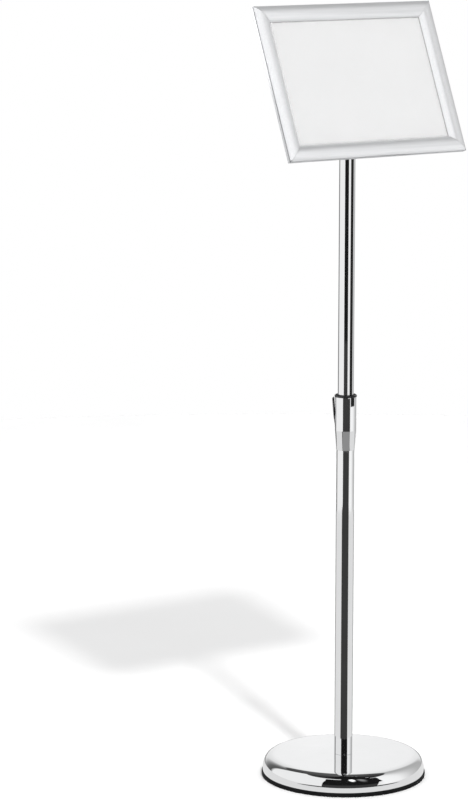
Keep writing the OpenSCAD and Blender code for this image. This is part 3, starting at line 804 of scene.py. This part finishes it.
def make_floor():
    """Plain pale floor that takes the shadow."""
    bm = bmesh.new()
    bmesh.ops.create_circle(bm, cap_ends=True, segments=STAGE_STEPS, radius=FLOOR_R)
    floor = linked("floor", mesh_of("floor", bm))
    s = Shader("pale_floor", Metallic=0.0, Roughness=0.9, Specular_IOR_Level=0.1)
    s.set(s.surface, {"Base_Color": s.shades(s.noise(3, 4), (0.925, 0.925, 0.925), (0.945, 0.945, 0.945))})
    floor.data.materials.append(s.material)


def ramp(shader, value, stops):
    """Grey by azimuth, from (degrees, grey) stops over -180..180."""
    node = shader.add("ShaderNodeValToRGB", {"Fac": value})
    elements = node.color_ramp.elements
    elements.remove(elements[0])
    for k, (degrees, grey) in enumerate(stops):
        position = (degrees + 180) / 360
        element = elements[0] if k == 0 else elements.new(position)
        element.position = position
        element.color = (grey, grey, grey, 1)
    return node.outputs["Color"]


def turned_to_camera(obj):
    """Puts the turn toward the camera into the object, so that its own -Y faces the camera."""
    obj.matrix_world = Matrix.Rotation(CAMERA_TURN, 4, "Z")
    return obj


# Light of the tent's walls by azimuth, 0 toward the camera and positive to the right
WALL_LIGHT = [
    (-180, 1.0), (-157, 0.8), (-146, 0.35), (-136, 0.15), (-124, 0.09), (-118, 0.97), (0, 0.97),
    (47, 0.92), (60, 1.08), (85, 1.0), (110, 0.66), (130, 0.50), (146, 0.46), (156, 0.85), (180, 1.0),
]
# Height of the walls' top edge as a share of the tent's height, and the light above it
WALL_TOP = [
    (-180, 0.37), (-150, 0.38), (-124, 0.46), (-118, 0.86), (-36, 0.88), (30, 0.72), (120, 0.72),
    (150, 0.62), (180, 0.5),
]
ABOVE_LIGHT = [(-180, 0.12), (-120, 0.05), (-30, 0.015), (40, 0.015), (120, 0.05), (180, 0.12)]
# The walls' light grows from nothing to full between these depths below their top edge, in metres
WALL_FADE = (-0.12, 0.04)
FLOOR_LIGHT = [
    (-180, 0.4), (-150, 0.3), (-138, 0.3), (-130, 0.82), (130, 0.82), (138, 0.3), (150, 0.3), (180, 0.4),
]


def azimuth_of(shader):
    """The shaded point's azimuth about the object's Z, over 0..1, and its height."""
    split = shader.add("ShaderNodeSeparateXYZ", {"Vector": shader.place})
    x, y, z = split.outputs
    toward = shader.add("ShaderNodeMath", {0: y, 1: -1.0}, operation="MULTIPLY").outputs[0]
    turn = shader.add("ShaderNodeMath", {0: x, 1: toward}, operation="ARCTAN2").outputs[0]
    spread = shader.add("ShaderNodeMapRange", {"Value": turn, "From_Min": -math.pi, "From_Max": math.pi})
    return spread.outputs["Result"], z


def glow(shader, colour, strength=1.0):
    """Turns the material into plain light of the colour and returns it."""
    light = shader.add("ShaderNodeEmission", {"Color": colour, "Strength": strength})
    shader.tree.links.new(light.outputs[0], shader.tree.nodes["Material Output"].inputs["Surface"])
    return shader.material


def make_tent():
    """Round light tent: pale walls with a dark stretch behind on the left, and dark overhead."""
    s = Shader("tent_light")
    around, z = azimuth_of(s)
    body, top, above = (ramp(s, around, stops) for stops in (WALL_LIGHT, WALL_TOP, ABOVE_LIGHT))
    edge = s.add("ShaderNodeMath", {0: top, 1: TENT_H}, operation="MULTIPLY").outputs[0]
    below = s.add("ShaderNodeMath", {0: edge, 1: z}, operation="SUBTRACT").outputs[0]
    part = s.spread(below, 0, 1, source=WALL_FADE)
    colour = s.add("ShaderNodeMix", {0: part, 6: above, 7: body}, data_type="RGBA").outputs[2]
    r, h, skin = TENT_R / MM, TENT_H / MM, 1
    outline = [(r, 0), (r, h), (0, h), (0, h + skin), (r + skin, h + skin), (r + skin, 0)]
    tent = finished("light_tent", lathe_bmesh(outline, STAGE_STEPS))
    tent.data.materials.append(glow(s, colour))
    glossy_only(turned_to_camera(tent))


def make_floor_light():
    """The floor as the chrome sees it: pale, and darker behind the stand."""
    s = Shader("floor_light")
    around = azimuth_of(s)[0]
    inner, outer, low, high = FLOOR_LIGHT_R, TENT_R / MM, 1, 1.2
    outline = [(inner, low), (outer, low), (outer, high), (inner, high)]
    disc = finished("floor_light", lathe_bmesh(outline, STAGE_STEPS))
    disc.data.materials.append(glow(s, ramp(s, around, FLOOR_LIGHT)))
    glossy_only(turned_to_camera(disc))


def make_card(name, line, grey, back=None, steps=24):
    """Part of a surface round the pole. `line` has (radius, height, first azimuth, last azimuth) at each
    level, and `back` is the grey of the side that faces down or outward."""
    bm = bmesh.new()
    rows = []
    for k in range(steps + 1):
        turns = [math.radians(start + (end - start) * k / steps) for _, _, start, end in line]
        rows.append([bm.verts.new((r * MM * math.sin(a), -r * MM * math.cos(a), z * MM))
                     for (r, z, _, _), a in zip(line, turns)])
    for here, after in zip(rows, rows[1:]):
        for k in range(len(line) - 1):
            bm.faces.new((here[k], here[k + 1], after[k + 1], after[k]))
    card = linked(name, mesh_of(name, bm))
    s = Shader(name)
    colour = s.add("ShaderNodeRGB").outputs[0]
    colour.default_value = (grey, grey, grey, 1)
    if back is not None:
        facing = s.add("ShaderNodeNewGeometry").outputs["Backfacing"]
        sides = {0: facing, 6: colour, 7: (back, back, back, 1)}
        colour = s.add("ShaderNodeMix", sides, data_type="RGBA").outputs[2]
    card.data.materials.append(glow(s, colour))
    glossy_only(turned_to_camera(card))
    return card


# Lamps high before the stand that glint in the base: azimuth, height, half width, half height, strength
LAMPS = [(14, 2500, 260, 1300, 2.4), (31, 2350, 330, 1500, 0.30)]
# The card that holds them: radius, lowest and highest point, first and last azimuth, and its own light
LAMPS_R = 1930
LAMPS_HEIGHT = (700, 4100)
LAMPS_TURN = (-6, 56)
LAMPS_DARK = 0.01
# A lamp's light grows from nothing at the first share of its half size to full at the second
LAMP_FADE = (1.0, 0.15)


def lamp_light(shader, azimuth, height, half_w, half_h, strength):
    """Light of one soft oval lamp at the shaded point."""
    a = math.radians(azimuth)
    centre = Vector((LAMPS_R * math.sin(a), -LAMPS_R * math.cos(a), height)) * MM
    shrink = Vector((1 / half_w, 1 / half_w, 1 / half_h)) / MM
    offset = shader.add("ShaderNodeVectorMath", {0: shader.place, 1: centre}, operation="SUBTRACT").outputs[0]
    scaled = shader.add("ShaderNodeVectorMath", {0: offset, 1: shrink}, operation="MULTIPLY").outputs[0]
    away = shader.add("ShaderNodeVectorMath", {0: scaled}, operation="LENGTH").outputs["Value"]
    fade = shader.add("ShaderNodeMapRange", {
        "Value": away, "From_Min": LAMP_FADE[0], "From_Max": LAMP_FADE[1], "To_Min": 0.0, "To_Max": strength,
    }, interpolation_type="SMOOTHSTEP")
    return fade.outputs["Result"]


def make_lamps():
    """Card that is dark but for the lamps."""
    card = make_card("lamps", [(LAMPS_R, height, *LAMPS_TURN) for height in LAMPS_HEIGHT], 0)
    s = Shader("lamps")
    total = LAMPS_DARK
    for lamp in LAMPS:
        total = s.add("ShaderNodeMath", {0: lamp_light(s, *lamp), 1: total}, operation="ADD").outputs[0]
    card.data.materials.clear()
    card.data.materials.append(glow(s, (1, 1, 1, 1), total))


def band(turn, *levels):
    """A card's line whose levels, each (radius, height), all span the same azimuths."""
    return [(radius, height, *turn) for radius, height in levels]


def make_cards():
    """Cards and flags of the studio."""
    # High before the stand and edge-on to the base, for the front of the frame
    make_card("front_card", band((-52, 55), (480, 1078), (1300, 2920)), 1.7, 0.01)
    # Black flag just above the floor, for the pole's dark band
    make_card("floor_flag", band((-40, 47), (140, 13), (1990, 13)), 0.045)
    # Black front of the tent, wider to the right as it rises
    make_card("front_flag", [(1970, 380, -31, 48), (1970, 1700, -31, 58), (1960, 3000, -36, 68)], 0.01)
    make_card("low_flag", [(1970, 0, -31, 45), (1970, 380, -31, 48)], 0.045)
    # Beside the upper tube
    make_card("upper_card", band((22, 52), (320, 549), (320, 950)), 0.95)
    make_card("upper_flag", band((49.6, 95.4), (100, 570), (100, 965)), 0.02)
    # Dark toward the base: for the frame's left side, and for the underside of its lowest moulding
    make_card("side_card", band((-132, -72), (400, 1050), (530, 1290)), 2.6, 0.05)
    make_card("low_card", band((40, 110), (506, 928), (600, 1052)), 1.6, 0.03)
    # Grey card before the collar's cone, edge-on to the tube below it
    make_card("cone_card", band((-33, 46), (22, 513), (320, 456)), 0.30, 0.01)
    make_lamps()


def make_world():
    """Even sky light, and plain white behind the stand."""
    world = bpy.data.worlds.new("studio")
    bpy.context.scene.world = world
    world.use_nodes = True
    nodes, links = world.node_tree.nodes, world.node_tree.links
    back = nodes["Background"]
    back.inputs["Color"].default_value = (1, 1, 1, 1)
    back.inputs["Strength"].default_value = SKY
    backdrop = nodes.new("ShaderNodeBackground")
    backdrop.inputs["Strength"].default_value = 1.0
    backdrop.inputs["Color"].default_value = (1, 1, 1, 1)
    path = nodes.new("ShaderNodeLightPath")
    mix = nodes.new("ShaderNodeMixShader")
    links.new(path.outputs["Is Camera Ray"], mix.inputs["Fac"])
    links.new(back.outputs[0], mix.inputs[1])
    links.new(backdrop.outputs[0], mix.inputs[2])
    links.new(mix.outputs[0], nodes["World Output"].inputs["Surface"])


def make_key():
    """Small lamp without falloff, which casts the shadow and shows in no reflection."""
    lamp = bpy.data.lights.new("key", "POINT")
    lamp.energy = KEY_POWER
    lamp.shadow_soft_size = KEY_RADIUS
    lamp.use_nodes = True
    tree = lamp.node_tree
    even = tree.nodes.new("ShaderNodeLightFalloff")
    even.inputs["Strength"].default_value = 1.0
    tree.links.new(even.outputs["Constant"], tree.nodes["Emission"].inputs["Strength"])
    key = linked("key", lamp)
    key.location = KEY_AT
    key.visible_glossy = False


def make_camera():
    """Camera before the stand, turned about the pole."""
    data = bpy.data.cameras.new("camera")
    data.lens = CAMERA_LENS
    data.sensor_width = 36
    data.shift_x, data.shift_y = CAMERA_SHIFT
    data.clip_end = 200
    camera = linked("camera", data)
    place = Matrix.Rotation(CAMERA_TURN, 4, "Z") @ Matrix.Translation(CAMERA_AT)
    aim = Matrix.Rotation(-CAMERA_YAW, 4, "Z") @ Matrix.Rotation(math.pi / 2 - CAMERA_PITCH, 4, "X")
    camera.matrix_world = place @ aim @ Matrix.Rotation(-CAMERA_ROLL, 4, "Z")
    bpy.context.scene.camera = camera


bpy.context.scene.view_settings.view_transform = "Standard"
make_camera()
make_floor()
make_tent()
make_floor_light()
make_cards()
make_world()
make_key()
make_edge_ring()
make_cover()
make_tube("pole_lower", "lower_tube", LOWER_R, "stand")
make_tube("pole_upper", "upper_tube", UPPER_R, "mast")
make_collar()
make_cap_ring()
make_lever()
make_thumb_pad()
make_lever_spring()
make_sheets()
make_mouldings()
keep_nodes()
